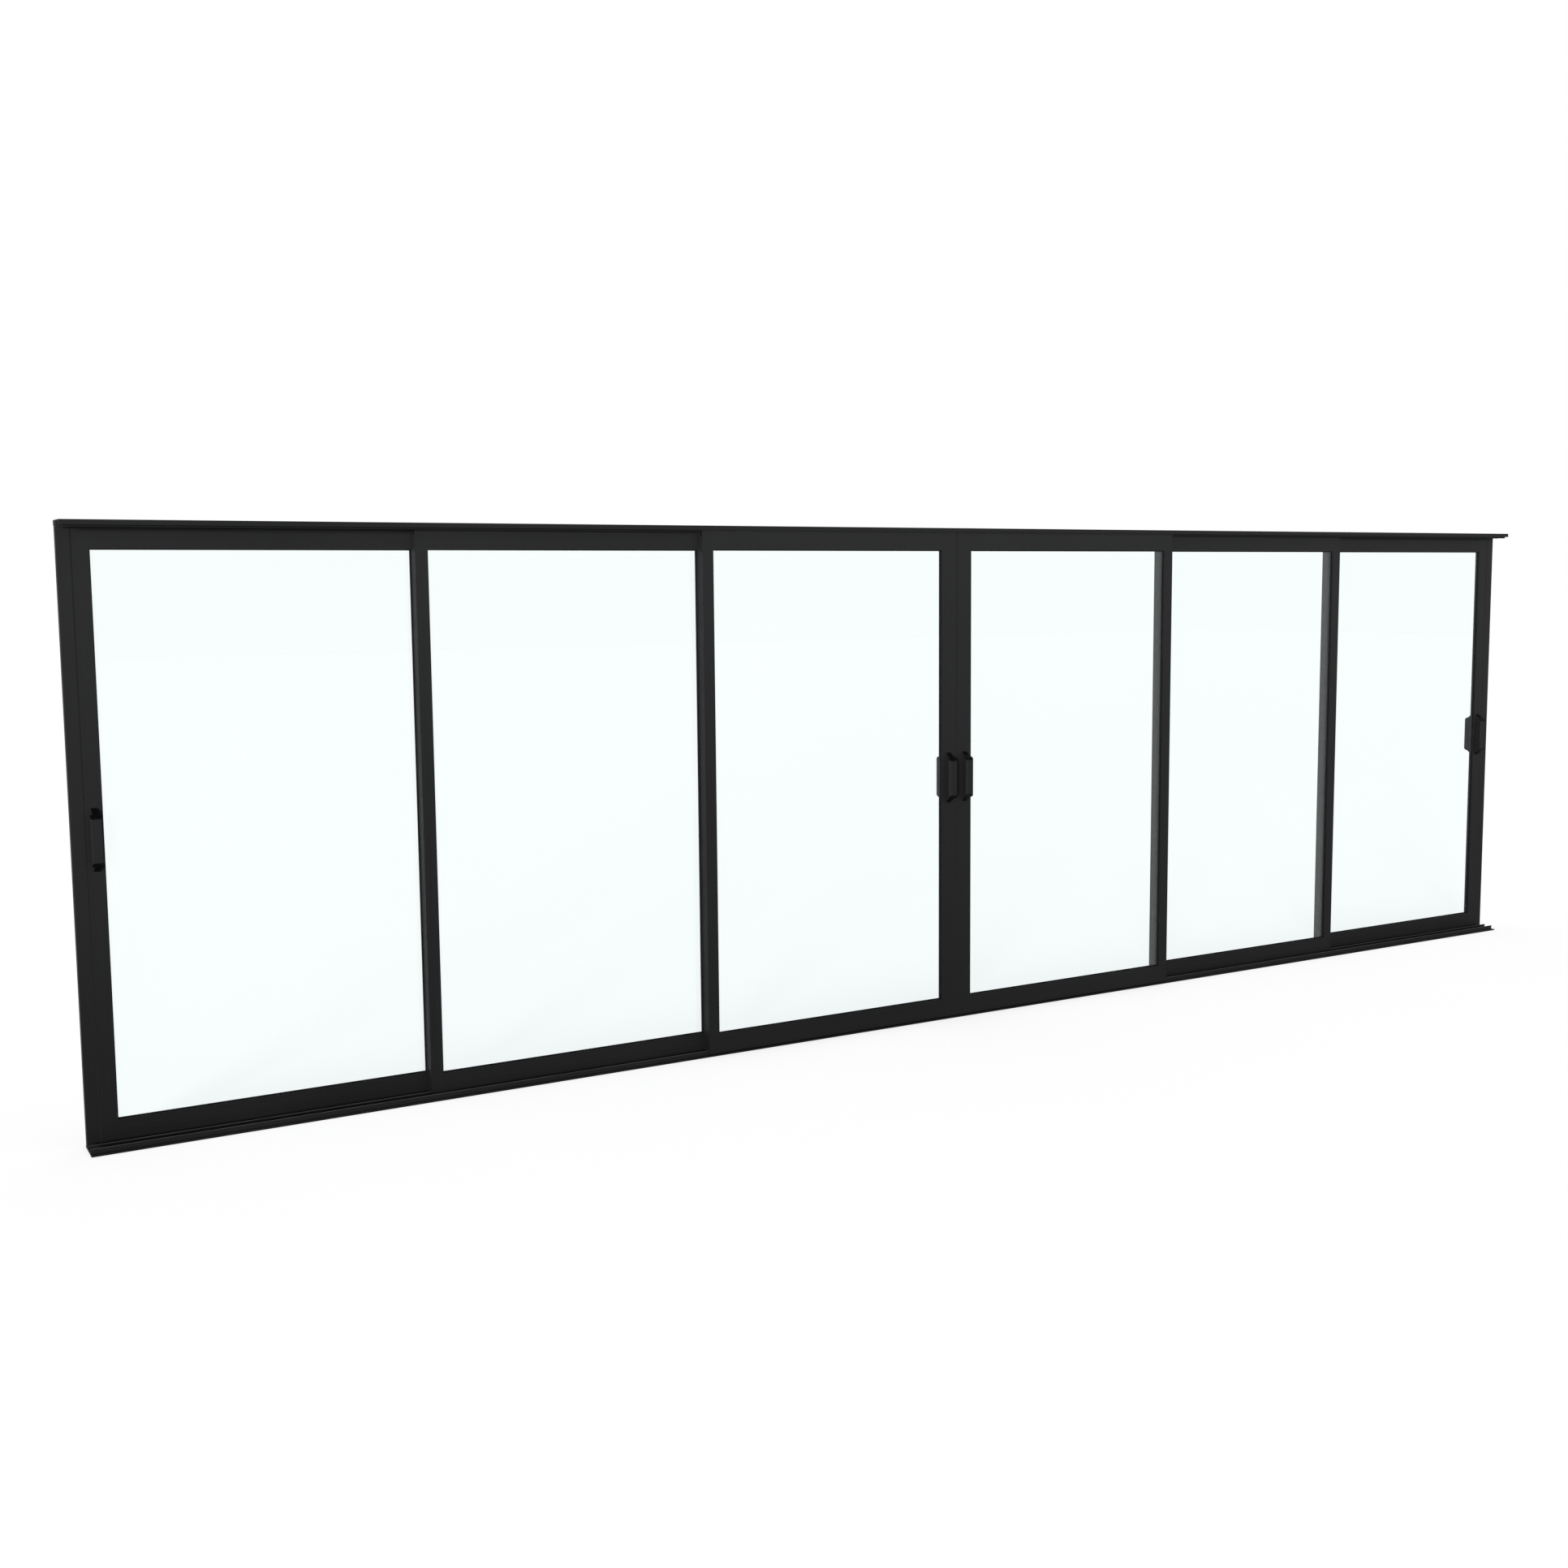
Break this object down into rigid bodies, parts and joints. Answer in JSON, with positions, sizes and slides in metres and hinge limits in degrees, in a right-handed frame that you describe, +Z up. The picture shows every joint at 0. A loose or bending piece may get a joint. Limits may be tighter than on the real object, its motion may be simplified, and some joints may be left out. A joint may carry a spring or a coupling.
{
  "type": "three-track glass sliding patio door",
  "caption": "Wide aluminium-framed sliding patio door: glazed panels on parallel tracks between a ribbed sill and a finned head, with pull handles on the outer and meeting stiles.",
  "frame": {"origin": "centre of the sill's underside, where it sits on the floor", "axes": "+X along the door to the right seen from the front, +Y from the front to the back, +Z up"},
  "size_m": [7, 0.195, 2.1],
  "materials": {
    "frame_aluminium": "matt",
    "panel_aluminium": "matt",
    "handle_aluminium": "matt",
    "clear_glass": "clear",
    "cap_plastic": "matt",
    "roller_nylon": "satin"
  },
  "bodies": {
    "frame": {"sill_track": "frame_aluminium", "head_track": "frame_aluminium", "left_side_profile": "frame_aluminium", "right_side_profile": "frame_aluminium"},
    "far_left_panel": {"far_left_stiles": "panel_aluminium", "far_left_rails": "panel_aluminium", "far_left_glass": "clear_glass", "far_left_interlock": "panel_aluminium", "far_left_rollers": "roller_nylon", "far_left_handle_grips": "handle_aluminium", "far_left_handle_caps": "cap_plastic"},
    "mid_left_panel": {"mid_left_stiles": "panel_aluminium", "mid_left_rails": "panel_aluminium", "mid_left_glass": "clear_glass", "mid_left_interlock": "panel_aluminium", "mid_left_rollers": "roller_nylon"},
    "centre_left_panel": {"centre_left_stiles": "panel_aluminium", "centre_left_rails": "panel_aluminium", "centre_left_glass": "clear_glass", "centre_left_interlock": "panel_aluminium", "centre_left_rollers": "roller_nylon", "centre_left_handle_grips": "handle_aluminium", "centre_left_handle_caps": "cap_plastic"},
    "centre_right_panel": {"centre_right_stiles": "panel_aluminium", "centre_right_rails": "panel_aluminium", "centre_right_glass": "clear_glass", "centre_right_interlock": "panel_aluminium", "centre_right_rollers": "roller_nylon", "centre_right_handle_grips": "handle_aluminium", "centre_right_handle_caps": "cap_plastic"},
    "mid_right_panel": {"mid_right_stiles": "panel_aluminium", "mid_right_rails": "panel_aluminium", "mid_right_glass": "clear_glass", "mid_right_interlock": "panel_aluminium", "mid_right_rollers": "roller_nylon"},
    "far_right_panel": {"far_right_stiles": "panel_aluminium", "far_right_rails": "panel_aluminium", "far_right_glass": "clear_glass", "far_right_interlock": "panel_aluminium", "far_right_rollers": "roller_nylon", "far_right_handle_grips": "handle_aluminium", "far_right_handle_caps": "cap_plastic"}
  },
  "joints": [
    {"name": "far_left_slide", "type": "slide", "parent": "frame", "child": "far_left_panel", "axis": [-1, 0, 0], "range_m": [-1.078, 0]},
    {"name": "mid_left_slide", "type": "slide", "parent": "frame", "child": "mid_left_panel", "axis": [-1, 0, 0], "range_m": [0, 1.078]},
    {"name": "centre_left_slide", "type": "slide", "parent": "mid_left_panel", "child": "centre_left_panel", "axis": [-1, 0, 0], "range_m": [0, 1.086]},
    {"name": "centre_right_slide", "type": "slide", "parent": "mid_right_panel", "child": "centre_right_panel", "axis": [1, 0, 0], "range_m": [0, 1.086]},
    {"name": "mid_right_slide", "type": "slide", "parent": "frame", "child": "mid_right_panel", "axis": [1, 0, 0], "range_m": [0, 1.078]},
    {"name": "far_right_slide", "type": "slide", "parent": "frame", "child": "far_right_panel", "axis": [1, 0, 0], "range_m": [-1.078, 0]}
  ]
}
